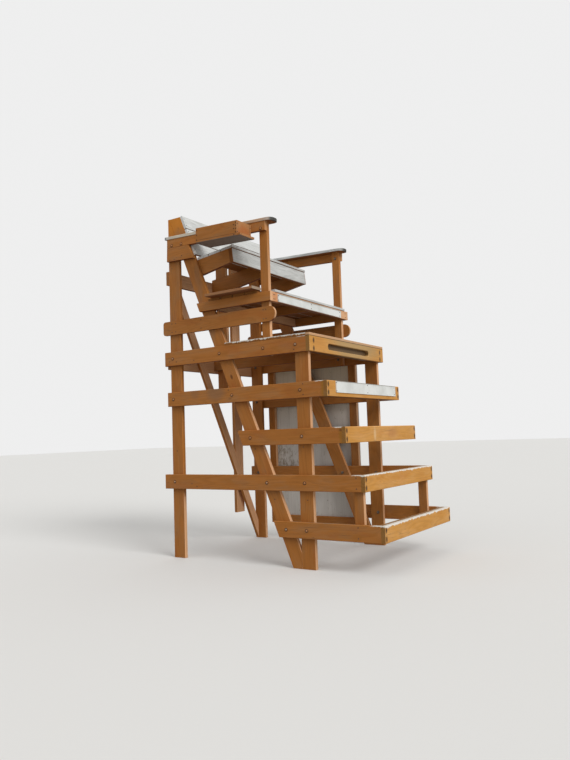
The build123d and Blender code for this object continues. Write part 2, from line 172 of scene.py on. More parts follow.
def boardMaterial(name, finish, lie, seed, split, marks):
    look = finishes[finish]
    tint = marks.get("tint", 1.0)
    material, tree, place = newMaterial(name)
    facing = addNode(tree, "NewGeometry", {}, "Normal")
    grain = addNode(tree, "Mapping", {"Vector": place, "Rotation": grainTurn(lie)})
    if split:
        # which board of the piece this is, for its own figure and its own shade
        way, start, pitch = split
        board = {0: place, 1: [c / pitch for c in way]}
        board = addNode(tree, "VectorMath", board, "Value", operation="DOT_PRODUCT")
        board = addNode(tree, "Math", {0: board, 1: start / pitch}, operation="SUBTRACT")
        board = addNode(tree, "Math", {0: board}, operation="FLOOR")
        board = addNode(tree, "Math", {0: board, 1: seed * 3.7}, operation="ADD")
        chance = addNode(tree, "TexWhiteNoise", {"W": board}, "Color", noise_dimensions="1D")
        shift = addNode(tree, "VectorMath", {0: chance, 1: (9, 9, 9)}, operation="MULTIPLY")
        shade = addNode(tree, "SeparateXYZ", {0: chance}, "X")
        shade = addNode(tree, "MapRange", {0: shade, 3: 0.92, 4: 1.07})
    else:
        shift = (seed * 1.37, seed * 0.83, seed * 0.59)
    grain = addNode(tree, "VectorMath", {0: grain, 1: shift}, operation="ADD")
    drawn = {}
    for pattern, size in grainSize.items():
        drawn[pattern] = addNode(tree, "VectorMath", {0: grain, 1: size}, operation="MULTIPLY")
    # figure: rings cut by the saw, as contours of a field drawn out along the board; real
    # rings are 3 to 5 mm apart, and these are 10 to 20 mm, so that they show
    ring = {"Vector": drawn["figure"], "Scale": 1.0, "Detail": 1.5, "Roughness": 0.45}
    ring = addNode(tree, "TexNoise", ring)
    # knots, 20 to 30 mm across, run through the thickness and push the figure aside
    cells = addNode(tree, "TexVoronoi", {"Vector": drawn["knot"], "Scale": 1.0}).node.outputs
    picked = addNode(tree, "SeparateXYZ", {0: cells["Color"]}, "Y")
    picked = addNode(tree, "Math", {0: picked, 1: look["knots"]}, operation="GREATER_THAN")
    knot = []
    for reach in (0.42, 0.11):
        near = {0: cells["Distance"], 1: 0.05, 2: reach, 3: 1.0, 4: 0.0}
        near = addNode(tree, "MapRange", near, interpolation_type="SMOOTHSTEP")
        knot.append(addNode(tree, "Math", {0: near, 1: picked}, operation="MULTIPLY"))
    ring = addNode(tree, "Math", {0: knot[0], 1: 0.22, 2: ring}, operation="MULTIPLY_ADD")
    ring = addNode(tree, "Math", {0: ring, 1: ringCount}, operation="MULTIPLY")
    ring = addNode(tree, "Math", {0: ring}, operation="FRACT")
    ring = addNode(tree, "MapRange", {0: ring, 1: 0.25, 2: 0.95}, interpolation_type="SMOOTHSTEP")
    # fibre, 3 to 5 mm streaks a hand or two long
    fibre = {"Vector": drawn["fibre"], "Scale": 1.0, "Detail": 3.0, "Roughness": 0.6}
    fibre = addNode(tree, "TexNoise", fibre)
    # blotches of stain and weather, 50 to 300 mm
    blot = {"Vector": drawn["blotch"], "Scale": 1.0, "Detail": 4.0, "Roughness": 0.62}
    blot = addNode(tree, "TexNoise", blot)
    warm = addNode(tree, "VectorMath", {0: drawn["blotch"], 1: (5.3, 2.1, 7.7)}, operation="ADD")
    warm = addNode(tree, "TexNoise", {"Vector": warm, "Scale": 0.8, "Detail": 4.0, "Roughness": 0.6})
    # checks, thin dark splits along the grain that come and go
    check = {"Vector": drawn["check"], "Scale": 1.0, "Detail": 1.0, "Roughness": 0.4}
    check = addNode(tree, "TexNoise", check)
    check = addNode(tree, "Math", {0: check, 1: 0.5}, operation="SUBTRACT")
    check = addNode(tree, "Math", {0: check}, operation="ABSOLUTE")
    check = addNode(tree, "MapRange", {0: check, 1: 0.003, 2: 0.016, 3: 1.0, 4: 0.0})
    broken = addNode(tree, "MapRange", {0: blot, 1: 0.52, 2: 0.66})
    check = addNode(tree, "Math", {0: check, 1: broken}, operation="MULTIPLY")

    # the colours lie over each other as (share, colour), from the late wood to the soft patches
    figure = addNode(tree, "Math", {0: ring, 1: look["figure"]}, operation="MULTIPLY")
    warm = {0: warm, 1: 0.48, 2: 0.72, 3: 0.0, 4: look["warmShare"]}
    warm = addNode(tree, "MapRange", warm, interpolation_type="SMOOTHSTEP")
    rain = addNode(tree, "MapRange", {0: blot, 1: 0.42, 2: 0.72}, interpolation_type="SMOOTHSTEP")
    up = addNode(tree, "SeparateXYZ", {0: facing}, "Z")
    topped = addNode(tree, "MapRange", {0: up, 1: 0.3, 2: 0.9, 3: look["rainShare"], 4: 1.0})
    rain = addNode(tree, "Math", {0: rain, 1: topped}, operation="MULTIPLY", use_clamp=True)
    forward = addNode(tree, "SeparateXYZ", {0: facing}, "X")
    height = addNode(tree, "SeparateXYZ", {0: place}, "Z")
    # painted sunlight: faces towards the front, on the key light's side, take the pale sun colour
    sun = {0: forward, 1: 0.5, 2: 0.8, 3: 0.0, 4: marks.get("sun", look["paintedSunShare"])}
    sun = addNode(tree, "MapRange", sun)
    patchy = addNode(tree, "MapRange", {0: fibre, 1: 0.2, 2: 0.6, 3: 0.7, 4: 1.0})
    sun = addNode(tree, "Math", {0: sun, 1: patchy}, operation="MULTIPLY")
    if "paintedSunSpan" in marks:
        # the painted sunlight only up to one height, and none above another
        low, high = marks["paintedSunSpan"]
        lower = addNode(tree, "MapRange", {0: height, 1: low, 2: high, 3: 1.0, 4: 0.0})
        sun = addNode(tree, "Math", {0: sun, 1: lower}, operation="MULTIPLY")
    # faces that look down take the under colour: the stain left under bleached boards, and a darker
    # painted shade under stained and golden ones
    down = addNode(tree, "MapRange", {0: up, 1: -0.4, 2: -0.8})
    layers = [(figure, look["late"]), (warm, look["warm"]), (rain, look["rain"]), (sun, look["sun"])]
    layers.append((down, marks.get("under", look["under"])))
    for centre, radii, paint, share in marks.get("patches", ()):
        layers.append((softPatch(tree, place, blot, centre, radii, share), paint))
    colour = look["early"]
    for share, over in layers:
        colour = addNode(tree, "MixRGB", {"Fac": share, "Color1": colour, "Color2": over})
    tone = addNode(tree, "MapRange", {0: fibre, 1: 0.25, 2: 0.75, 3: 0.92, 4: 1.07})
    spread = addNode(tree, "MapRange", {0: blot, 1: 0.25, 2: 0.75, 3: 0.89 * tint, 4: 1.10 * tint})
    # end grain drinks the stain and goes dark, but not on faces towards the front, which are left pale as
    # painted sunlight
    endWay = Vector(lies[lie][0]).normalized()
    end = addNode(tree, "VectorMath", {0: facing, 1: endWay}, "Value", operation="DOT_PRODUCT")
    end = addNode(tree, "Math", {0: end}, operation="ABSOLUTE")
    endShade = marks.get("endShade", look["endShade"])
    endShade = addNode(tree, "MapRange", {0: forward, 1: 0.5, 2: 0.8, 3: endShade, 4: look["sunEnd"]})
    end = addNode(tree, "MapRange", {0: end, 1: 0.75, 2: 0.95, 3: 1.0, 4: endShade})
    # eased edges are painted a quarter paler, partly rubbed wear and partly painted highlight
    eased = addNode(tree, "VectorMath", {0: facing, 1: facing}, operation="MULTIPLY")
    eased = addNode(tree, "VectorMath", {0: eased, 1: eased}, "Value", operation="DOT_PRODUCT")
    eased = addNode(tree, "MapRange", {0: eased, 1: 0.50, 2: 0.85, 3: 1.25, 4: 1.0})
    for factor in (spread, shade, end, eased) if split else (spread, end, eased):
        tone = addNode(tree, "Math", {0: tone, 1: factor}, operation="MULTIPLY")
    colour = addNode(tree, "VectorMath", {0: colour, "Scale": tone}, operation="SCALE")

    # knots, checks, rust and wear lie on top, again as (share, colour)
    dark = addNode(tree, "Math", {0: check, 1: 0.4}, operation="MULTIPLY")
    layers = [(knot[1], look["knot"]), (dark, darkMarks["check"])]
    if "iron" in marks:
        # iron stain round nail pairs, mirrored about the middle of the board
        centre, half = marks["iron"]
        away = addNode(tree, "VectorMath", {0: place, 1: centre}, operation="SUBTRACT")
        away = addNode(tree, "VectorMath", {0: away}, operation="ABSOLUTE")
        away = addNode(tree, "VectorMath", {0: away, 1: half}, operation="SUBTRACT")
        away = addNode(tree, "VectorMath", {0: away, 1: (0.3, 1.0, 0.6)}, operation="MULTIPLY")
        away = addNode(tree, "VectorMath", {0: away}, "Value", operation="LENGTH")
        rust = {0: away, 1: 0.006, 2: 0.022, 3: 0.9, 4: 0.0}
        rust = addNode(tree, "MapRange", rust, interpolation_type="SMOOTHSTEP")
        layers.append((rust, darkMarks["iron"]))
    if "spots" in marks:
        # nails driven flush with the face, seen only as rusty spots
        near = None
        for centre in marks["spots"]:
            away = addNode(tree, "VectorMath", {0: place, 1: centre}, "Value", operation="DISTANCE")
            near = addNode(tree, "Math", {0: near, 1: away}, operation="MINIMUM") if near else away
        dot = addNode(tree, "MapRange", {0: near, 1: 0.004, 2: 0.008, 3: 0.95, 4: 0.0})
        layers.append((dot, darkMarks["nail"]))
    if "crown" in marks:
        # the board is paler along its top, above one height
        foot, pale = marks["crown"]
        band = addNode(tree, "MapRange", {0: height, 1: foot, 2: foot + 0.002, 3: 0.0, 4: 0.9})
        band = addNode(tree, "Math", {0: band, 1: patchy}, operation="MULTIPLY")
        layers.append((band, pale))
    for way, at, half in marks.get("seams", ()):
        # a dark joint line between two boards of one piece
        line = addNode(tree, "VectorMath", {0: place, 1: way}, "Value", operation="DOT_PRODUCT")
        line = addNode(tree, "Math", {0: line, 1: at}, operation="SUBTRACT")
        line = addNode(tree, "Math", {0: line}, operation="ABSOLUTE")
        line = addNode(tree, "MapRange", {0: line, 1: half * 0.5, 2: half, 3: 0.8, 4: 0.0})
        layers.append((line, darkMarks["seam"]))
    for strip in marks.get("worn", ()):
        layers.append((wornStrip(tree, place, facing, strip), strip["colour"]))
    for share, over in layers:
        colour = addNode(tree, "MixRGB", {"Fac": share, "Color1": colour, "Color2": over})
    relief = addNode(tree, "Math", {0: ring, 1: look["figure"] * 0.6, 2: fibre}, operation="MULTIPLY_ADD")
    relief = addNode(tree, "Math", {0: check, 1: -1.6, 2: relief}, operation="MULTIPLY_ADD")
    bump = addNode(tree, "Bump", {"Height": relief, "Strength": look["depth"], "Distance": 0.002})
    shader = addNode(tree, "BsdfPrincipled", {
        "Base Color": colour, "Roughness": look["roughness"], "Specular IOR Level": 0.25, "Normal": bump,
    })
    addNode(tree, "OutputMaterial", {"Surface": shader})
    return material


def dress(name, material):
    piece = nodes[name]
    piece.data.materials.clear()
    piece.data.materials.append(material)


boardGap = 0.008                # between two deck boards, in metres


def rowOf(name, count):
    # boards side by side along x: the way they follow each other, the start and the pitch
    low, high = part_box(name)
    return alongX, low[0] - boardGap / 2, (high[0] - low[0] + boardGap) / count


# what each node is made of: finish, lie, and where it holds several boards, how they part
pairs = (alongY, middleY, 5.0)
threeBeams = (alongY, middleY - 0.3, 0.6)
timbers = {}
for name, lie in (("rear_post", "post"), ("front_post", "post"), ("raking_leg", "leg")):
    for side in ("right_", "left_"):
        timbers[side + name] = ("stainedPine", lie)
for level in levelNames:
    for side in ("right_", "left_"):
        timbers[side + "side_board_" + level] = ("stainedPine", "side")
for level in levelNames:
    timbers["front_board_" + level] = ("goldenPine", "front")
timbers.update({
    "inner_boards": ("goldenPine", "front", (alongZ, platformZ - 0.2, stepRise)),
    "step_hangers": ("stainedPine", "post", pairs), "platform_joist": ("stainedPine", "side"),
    "platform_deck": ("bleachedPine", "deck", rowOf("platform_deck", 6)),
    "arm_posts": ("stainedPine", "post", pairs), "arm_beams": ("stainedPine", "arm", pairs),
    "arm_caps": ("bleachedPine", "cap", pairs), "arm_gussets": ("stainedPine", "arm", pairs),
    "gear_box": ("stainedPine", "arm"), "foot_shelf_beams": ("stainedPine", "side", threeBeams),
    "foot_shelf_front": ("stainedPine", "front"), "foot_shelf_bearer": ("stainedPine", "front"),
    "foot_shelf_deck": ("bleachedPine", "deck", rowOf("foot_shelf_deck", 5)),
    "side_shelf": ("stainedPine", "shelf"), "seat_beams": ("stainedPine", "side", threeBeams),
    "seat_front_board": ("bleachedPine", "front"),
    "seat_deck": ("bleachedPine", "seat", rowOf("seat_deck", 3)),
    "backrest": ("bleachedPine", "backrest", (upLeg, 3.0, 0.156)),
    "sign_boards": ("stainedPine", "side", pairs), "middle_post": ("stainedPine", "post"),
    "upper_back_rail": ("stainedPine", "front"), "lower_back_rail": ("stainedPine", "front"),
    "back_brace": ("stainedPine", "brace"), "back_upright": ("stainedPine", "upright"),
    "side_panel_studs": ("stainedPine", "post", (alongX, -0.4, 5.0)),
    "side_panel_rails": ("stainedPine", "side", (alongZ, 1.0, 5.0)),
})
tilts = {
    # x and z in millimetres where each tilted part starts, and the ways along it and out of it
    "arm": ((57, 3140), onArm, upArm), "seat": ((820, 2985), onSeat, upSeat),
    "back": ((206, 3404), upLeg, offLeg),
}


def tiltedSpot(part, along, out, y):
    # a point by millimetres along a tilted part and out of its face
    (x, z), way, outward = tilts[part]
    return spot(x + along * way[0] + out * outward[0], y, z + along * way[2] + out * outward[2])


frontNailing = {
    # metres in from a front board's ends, and up from its lower edge
    "platform": (0.074, 0.027, 0.099), "step": (0.022, 0.034, 0.106),
}


def frontNailPlaces(level):
    low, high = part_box("front_board_" + level)
    inset, *rises = frontNailing.get(level, frontNailing["step"])
    return [(high[0], y, low[2] + rise) for y in (low[1] + inset, high[1] - inset) for rise in rises]


# wear and stain, and painted sunlight and shade, that belong to one piece
gearBox = {
    # in millimetres, its near face, its front face and how far its middle line is below the arm's
    "side": -220, "front": 1058, "below": 49,
    # in metres, its wall, its bottom joint below the arm's line and half a seam's width
    "wall": 0.021, "bottomJoint": 0.098, "seam": 0.0022,
    # in millimetres, its nails: along the arm or across, and up from its middle line
    "sideNails": ((1048, 50), (1046, 22), (1049, -8), (1047, -38), (1028, -62), (1023, 30), (1025, -5),
                  (584, 45), (585, 0), (583, -45)),
    "frontNails": ((-209, 40), (-209, -35), (-110, -60), (-11, 40), (-11, -35)),
}
wear = {
    "bare": "#dbd8d0", "tan": "#d3ab87", "greyed": "#6f5d4c", "brightOrange": "#c67c24", "ochre": "#93631c",
    "darkTip": "#3b3936", "edge": "#8a5827",
}


def boxSpot(along, up, y):
    return tiltedSpot("arm", along, up - gearBox["below"], y)


armX, armZ = tilts["arm"][0]
boxJoint = sum(a * b for a, b in zip(spot(armX, 0, armZ), upArm)) - gearBox["bottomJoint"]
pieceMarks = {
    # a patch is its centre, its radii in metres, its colour and its share at the middle; a seam
    # is the way across it, where it is and half its width
    "right_side_board_step_4": {"patches": [
        (spot(382, 0, 1600), (0.08, 0.2, 0.08), wear["greyed"], 0.3),
        (spot(640, 0, 1585), (0.15, 0.2, 0.10), wear["greyed"], 0.45),
    ]},
    "right_raking_leg": {"paintedSunSpan": (1.3, 2.6), "patches": [
        (spot(413, 38, 2773), (0.04, 0.2, 0.16), wear["greyed"], 0.28),
        (spot(450, 38, 2600), (0.04, 0.2, 0.18), wear["greyed"], 0.25),
        (spot(586, 38, 2203), (0.06, 0.2, 0.2), wear["greyed"], 0.3),
        # the near leg's top is painted a brighter orange
        (spot(200, 57, 3400), (0.30, 0.2, 0.22), wear["brightOrange"], 0.9),
    ]},
    "left_raking_leg": {"sun": 0.3, "paintedSunSpan": (1.3, 2.6)},
    "right_rear_post": {"paintedSunSpan": (0.58, 0.66), "patches": [
        # the near rear post's top is painted a brighter orange
        (spot(110, 57, 3420), (0.30, 0.2, 0.25), wear["brightOrange"], 0.9),
    ]},
    "left_rear_post": {"paintedSunSpan": (0.58, 0.66)},
    "arm_gussets": {"sun": 0.0},
    "arm_beams": {"sun": 0.35},
    "arm_posts": {"paintedSunSpan": (2.4, 3.0)},
    "front_board_step_3": {"patches": [
        (spot(2026, 557, 1146), (0.1, 0.034, 0.09), "#dcc39b", 0.45),
        (spot(2026, 930, 1150), (0.1, 0.16, 0.07), "#b27b45", 0.7),
    ]},
    "front_board_platform": {
        "seams": [(alongZ, platformZ, 0.004)], "crown": (platformZ + 0.003, "#c39a76"),
        "patches": [
            (spot(1704, 830, 1990), (0.1, 0.62, 0.2), "#a98f63", 0.75),
            (spot(1704, 190, 1960), (0.1, 0.16, 0.08), "#c68a45", 0.5),
        ],
    },
    # the inner boards are tinted about half as bright, as painted shade behind the front boards
    "inner_boards": {"tint": 0.52, "endShade": 0.8, "patches": [
        (spot(1666, 745, 1954), (0.03, 1.6, 0.12), "#8c7150", 0.9),
    ]},
    "platform_deck": {
        "patches": [(spot(1200, y, 2040), (9.0, 0.011, 0.4), wear["edge"], 1.0) for y in (0, farSide)],
        "worn": [
            {"way": alongZ, "edge": 2.055, "reach": 0.034, "share": 1.0, "only": (0, out, 0),
             "colour": wear["bare"]}
            for out in (-1, 1)
        ],
    },
    "foot_shelf_deck": {"patches": [
        (spot(900, 0, 2491), (9.0, 0.014, 0.4), wear["edge"], 1.0),
        (spot(1165, 38, 2491), (0.02, 0.08, 0.3), wear["edge"], 1.0),
    ]},
    "foot_shelf_front": {"patches": [(spot(1307, 100, 2435), (0.1, 0.1, 0.1), "#c98a5c", 0.8)]},
    "side_shelf": {"patches": [
        (spot(900, -130, 2525), (0.60, 0.16, 0.06), "#8d6a50", 0.6),
        (spot(1182, -30, 2516), (0.010, 0.5, 0.3), "#a08d7a", 1.0),
    ]},
    "arm_caps": {"patches": [
        (spot(1352, 30, 3150), (0.05, 0.16, 0.06), wear["darkTip"], 0.95),
        (spot(1352, 1460, 3150), (0.05, 0.16, 0.06), wear["darkTip"], 0.95),
        (spot(1050, -6, 3140), (0.30, 0.03, 0.2), "#c19b78", 0.9),
        (spot(300, -6, 3190), (0.35, 0.02, 0.2), "#c3b8a4", 0.8),
        (spot(30, -6, 3190), (0.03, 0.1, 0.1), "#77797c", 0.9),
    ]},
    # the seat's front board is tinted a little darker as painted shade
    "seat_front_board": {"tint": 0.93, "patches": [
        (spot(805, y, 2915), (0.2, 0.012, 0.3), "#8a5526", 1.0) for y in (76, 1414)
    ]},
    "seat_deck": {"endShade": 1.25},
    "backrest": {"endShade": 1.2},
    "gear_box": {
        "tint": 0.95, "under": "#7d6f66", "endShade": 0.9, "sun": 0.25,
        "seams": [
            (alongY, spot(0, gearBox["side"], 0)[1] + gearBox["wall"], gearBox["seam"]),
            (alongY, -sideY - gearBox["wall"], gearBox["seam"]),
            (upArm, boxJoint, gearBox["seam"]),
        ],
        "patches": [(spot(1120, -110, 3040), (0.05, 0.12, 0.07), "#b0622e", 0.6)],
        "spots": [boxSpot(along, up, gearBox["side"]) for along, up in gearBox["sideNails"]],
    },
    "back_upright": {"spots": [spot(-36, y, z) for y in (1150, 1230) for z in (1930, 2796)]},
}
stepWear = {
    # reach of the worn strip along each front board in metres, how much of the edge it takes, its shade
    "platform": (0.012, 0.8, "tan"), "step_4": (0.014, 0.7, "tan"), "step_3": (0.011, 0.7, "tan"),
    "step_2": (0.036, 1.0, "bare"), "step_1": (0.040, 1.0, "bare"),
}
chippedEnd = {"only": alongX, "scale": 30.0, "colour": "#dfc79f"}
for level in levelNames:
    low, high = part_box("front_board_" + level)
    reach, share, shade = stepWear[level]
    own = pieceMarks.setdefault("front_board_" + level, {})
    own["worn"] = [
        {"way": alongZ, "edge": high[2], "reach": reach, "share": share, "colour": wear[shade]},
        {"way": (0, -1, 0), "edge": -low[1], "reach": 0.010, "share": 0.9, **chippedEnd},
        {"way": alongY, "edge": high[1], "reach": 0.005, "share": 0.6, **chippedEnd},
    ]
    places = frontNailPlaces(level)
    ends = list(zip(places[0], places[-1]))
    own["iron"] = ([(a + b) / 2 for a, b in ends], [(b - a) / 2 for a, b in ends])
    if level == "step_1":
        # nothing stands out of the tower's foremost face
        own["spots"] = places
    for side in ("right_", "left_"):
        low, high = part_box(side + "side_board_" + level)
        own = pieceMarks.setdefault(side + "side_board_" + level, {})
        edge = {"way": alongZ, "edge": high[2]}
        trodden = {"reach": 0.022, "share": 1.0, "start": high[0] - 0.10, "colour": wear["bare"]}
        own["worn"] = [{**edge, **trodden}]
        if level != "platform":
            own["worn"].append({**edge, "reach": 0.004, "share": 0.7, "colour": wear["tan"]})
        if level in ("step_4", "step_3"):
            corner = (high[0] + 0.01, low[1], low[2] + 0.07)
            own.setdefault("patches", []).append((corner, (0.045, 0.2, 0.2), wear["ochre"], 0.85))
for seed, (name, (finish, lie, *split)) in enumerate(timbers.items()):
    split = split[0] if split else None
    dress(name, boardMaterial(name + "Timber", finish, lie, seed + 1, split, pieceMarks.get(name, {})))
print("timber dressed:", len(timbers))

# Weathered sheathing plywood: a grey face veneer with fine upright checks and water marks,
# and dirt splashed over one patch of its inner face
plyLook = {
    "pale": "#dad8d3", "deep": "#c5c3be", "mark": "#a39e93", "dirt": "#857862", "yellowTop": "#dccdae",
    "rust": "#4a2e1c",
    # the splashed patch's middle, how far it reaches, and between which heights the inner face turns
    # yellower
    "splashed": (-0.75, 0.866, 0.86), "reach": (0.24, 0.006, 0.32), "yellowFrom": (1.2, 1.9),
    # the studs' middle, how far each is from it, and half the nails' spacing
    "studs": -0.3625, "stud": 0.5315, "nails": 0.125,
}


def plywoodMaterial():
    material, tree, place = newMaterial("greyPlywood")
    blots = addNode(tree, "VectorMath", {0: place, 1: (3.0, 1.0, 1.2)}, operation="MULTIPLY")
    blot = addNode(tree, "TexNoise", {"Vector": blots, "Scale": 1.0, "Detail": 5.0, "Roughness": 0.6})
    streaks = addNode(tree, "VectorMath", {0: place, 1: (90, 20, 3)}, operation="MULTIPLY")
    fibre = addNode(tree, "TexNoise", {"Vector": streaks, "Scale": 1.0, "Detail": 4.0, "Roughness": 0.6})
    wet = addNode(tree, "MapRange", {0: blot, 1: 0.35, 2: 0.65}, interpolation_type="SMOOTHSTEP")
    column = addNode(tree, "SeparateXYZ", {0: place}, "X")
    height = addNode(tree, "SeparateXYZ", {0: place}, "Z")
    # a little yellower on the inner face towards the top, under the platform
    low, high = plyLook["yellowFrom"]
    yellowTop = addNode(tree, "MapRange", {0: height, 1: low, 2: high, 3: 0.0, 4: 0.7})
    inner = addNode(tree, "NewGeometry", {}, "Normal")
    inner = addNode(tree, "VectorMath", {0: inner, 1: (0, -1, 0)}, "Value", operation="DOT_PRODUCT")
    yellowTop = addNode(tree, "Math", {0: yellowTop, 1: inner}, operation="MULTIPLY", use_clamp=True)
    line = addNode(tree, "MapRange", {0: fibre, 1: 0.52, 2: 0.78, 3: 0.0, 4: 0.5})
    # splashes of 10 to 30 mm in one patch of the inner face by the rear stud, few elsewhere
    splash = addNode(tree, "VectorMath", {0: place, 1: (1.0, 1.0, 0.45)}, operation="MULTIPLY")
    splash = addNode(tree, "TexNoise", {"Vector": splash, "Scale": 34.0, "Detail": 4.0, "Roughness": 0.7})
    away = addNode(tree, "VectorMath", {0: place, 1: plyLook["splashed"]}, operation="SUBTRACT")
    away = addNode(tree, "VectorMath", {0: away, 1: plyLook["reach"]}, operation="DIVIDE")
    away = addNode(tree, "VectorMath", {0: away}, "Value", operation="LENGTH")
    away = addNode(tree, "Math", {0: blot, 1: 1.2, 2: away}, operation="MULTIPLY_ADD")
    away = addNode(tree, "MapRange", {0: away, 1: 1.1, 2: 1.9, 3: 0.5, 4: 0.68})
    dirt = addNode(tree, "Math", {0: splash, 1: away}, operation="SUBTRACT")
    dirt = addNode(tree, "MapRange", {0: dirt, 1: -0.06, 2: 0.05, 3: 0.0, 4: 0.72})
    # nails driven flush down both studs, a quarter of a metre apart, as rusty spots
    column = addNode(tree, "Math", {0: column, 1: plyLook["studs"]}, operation="SUBTRACT")
    column = addNode(tree, "Math", {0: column}, operation="ABSOLUTE")
    column = addNode(tree, "Math", {0: column, 1: plyLook["stud"]}, operation="SUBTRACT")
    row = addNode(tree, "Math", {0: height, 1: plyLook["nails"]}, operation="PINGPONG")
    row = addNode(tree, "Math", {0: row, 1: plyLook["nails"]}, operation="SUBTRACT")
    rust = addNode(tree, "CombineXYZ", {0: column, 1: row})
    rust = addNode(tree, "VectorMath", {0: rust}, "Value", operation="LENGTH")
    rust = addNode(tree, "MapRange", {0: rust, 1: 0.004, 2: 0.009, 3: 0.9, 4: 0.0})
    layers = {"deep": wet, "yellowTop": yellowTop, "mark": line, "dirt": dirt, "rust": rust}
    colour = plyLook["pale"]
    for over, share in layers.items():
        colour = addNode(tree, "MixRGB", {"Fac": share, "Color1": colour, "Color2": plyLook[over]})
    bump = addNode(tree, "Bump", {"Height": fibre, "Strength": 0.4, "Distance": 0.001})
    shader = addNode(tree, "BsdfPrincipled", {
        "Base Color": colour, "Roughness": 0.9, "Specular IOR Level": 0.2, "Normal": bump,
    })
    addNode(tree, "OutputMaterial", {"Surface": shader})
    return material


dress("side_panel_board", plywoodMaterial())

# Hot dip galvanised steel: dull grey with a fine spangle, and rust where it has worn through
zincLook = {"zinc": "#8d8377", "dull": "#6d5d4c", "rust": "#331c0e", "cell": 9.0}


def zincMaterial(name, rustShare):
    material, tree, place = newMaterial(name)
    spangle = addNode(tree, "TexVoronoi", {"Vector": place, "Scale": 1000 / zincLook["cell"]}, "Color")
    spangle = addNode(tree, "SeparateXYZ", {0: spangle})
    colour = addNode(tree, "MixRGB", {
        "Fac": spangle, "Color1": zincLook["zinc"], "Color2": zincLook["dull"],
    })
    worn = addNode(tree, "TexNoise", {"Vector": place, "Scale": 60.0, "Detail": 4.0})
    worn = addNode(tree, "MapRange", {0: worn, 1: 0.70 - rustShare, 2: 0.82 - rustShare, 3: 0.0, 4: 0.85})
    colour = addNode(tree, "MixRGB", {"Fac": worn, "Color1": colour, "Color2": zincLook["rust"]})
    rough = addNode(tree, "MapRange", {0: worn, 1: 0.0, 2: 0.8, 3: 0.45, 4: 0.85})
    metal = addNode(tree, "MapRange", {0: worn, 1: 0.0, 2: 0.5, 3: 0.9, 4: 0.0})
    bump = addNode(tree, "Bump", {"Height": worn, "Strength": 0.5, "Distance": 0.0005})
    shader = addNode(tree, "BsdfPrincipled", {
        "Base Color": colour, "Roughness": rough, "Metallic": metal, "Normal": bump,
    })
    addNode(tree, "OutputMaterial", {"Surface": shader})
    return material


zinc = zincMaterial("galvanisedSteel", 0.16)
rustyZinc = zincMaterial("rustingNails", 0.40)

# Steel brushed over with the stain: washers painted dark all round, partly grime and partly painted shade
# round the heads, and bolt heads where it has half chipped off the zinc
brushed = {
    "stainedWashers": {
        "stain": "#5a3716", "over": "#33200f", "scale": 150.0, "span": (0.4, 0.6), "share": 1.0,
        "roughness": 0.6,
    },
    "chippedStainBolts": {
        "stain": "#ad7039", "over": "#998672", "scale": 45.0, "span": (0.52, 0.60), "share": 0.85,
        "roughness": 0.5,
        # the lower ones, within reach of feet, have lost more of it
        "rise": {1: 0.3, 2: 2.0, 3: 0.08, 4: -0.05},
    },
}


def brushedMaterial(name):
    look = brushed[name]
    low, high = look["span"]
    material, tree, place = newMaterial(name)
    worn = addNode(tree, "TexNoise", {"Vector": place, "Scale": look["scale"], "Detail": 3.0})
    if "rise" in look:
        rise = addNode(tree, "SeparateXYZ", {0: place}, "Z")
        rise = addNode(tree, "MapRange", {0: rise, **look["rise"]})
        worn = addNode(tree, "Math", {0: worn, 1: rise}, operation="ADD")
    worn = addNode(tree, "MapRange", {0: worn, 1: low, 2: high, 4: look["share"]})
    colour = addNode(tree, "MixRGB", {"Fac": worn, "Color1": look["stain"], "Color2": look["over"]})
    shader = addNode(tree, "BsdfPrincipled", {"Base Color": colour, "Roughness": look["roughness"]})
    addNode(tree, "OutputMaterial", {"Surface": shader})
    return material


washerPaint, boltPaint = brushedMaterial("stainedWashers"), brushedMaterial("chippedStainBolts")


def deselectAll():
    if bpy.context.object and bpy.context.object.mode == "EDIT":
        bpy.ops.object.mode_set(mode="OBJECT")
    bpy.ops.object.select_all(action="DESELECT")


def pickFaces(piece, test):
    # in edit mode, only the faces that pass the test are selected
    bpy.ops.object.mode_set(mode="OBJECT")
    for part in (piece.data.vertices, piece.data.edges, piece.data.polygons):
        for element in part:
            element.select = False
    for face in piece.data.polygons:
        face.select = test(face)
    bpy.ops.object.mode_set(mode="EDIT")
    bpy.ops.mesh.select_mode(type="FACE")


def settle(piece, name, material):
    # the place goes into the mesh, and the piece rides on the tower's one body
    piece.name = name
    deselectAll()
    piece.select_set(True)
    bpy.context.view_layer.objects.active = piece
    bpy.ops.object.transform_apply(location=True, rotation=True, scale=True)
    piece.data.materials.clear()
    piece.data.materials.append(material)
    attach(piece, "root")


def scatter(pattern, name, places, material):
    # copies of one pattern, each at a point and facing one way, joined as one piece
    copies = []
    for point, way in places:
        turn = Vector(way).to_track_quat("Z", "Y").to_matrix().to_4x4()
        copy = bpy.data.objects.new(name, pattern.data.copy())
        bpy.context.collection.objects.link(copy)
        copy.data.transform(Matrix.Translation(point) @ turn)
        copies.append(copy)
    deselectAll()
    for copy in copies:
        copy.select_set(True)
    bpy.context.view_layer.objects.active = copies[0]
    bpy.ops.object.join()
    settle(bpy.context.object, name, material)


def turnedDisc(radius, depth, sides, base=0.0):
    # a short cylinder standing on z = base, the start of the small hardware
    deselectAll()
    middle = (0, 0, base + depth / 2)
    bpy.ops.mesh.primitive_cylinder_add(vertices=sides, radius=radius, depth=depth, location=middle)
    disc = bpy.context.object
    bpy.ops.object.transform_apply(location=True)
    return disc


def isTop(height):
    return lambda face: face.normal.z > 0.9 and abs(face.center.z - height) < 0.0005


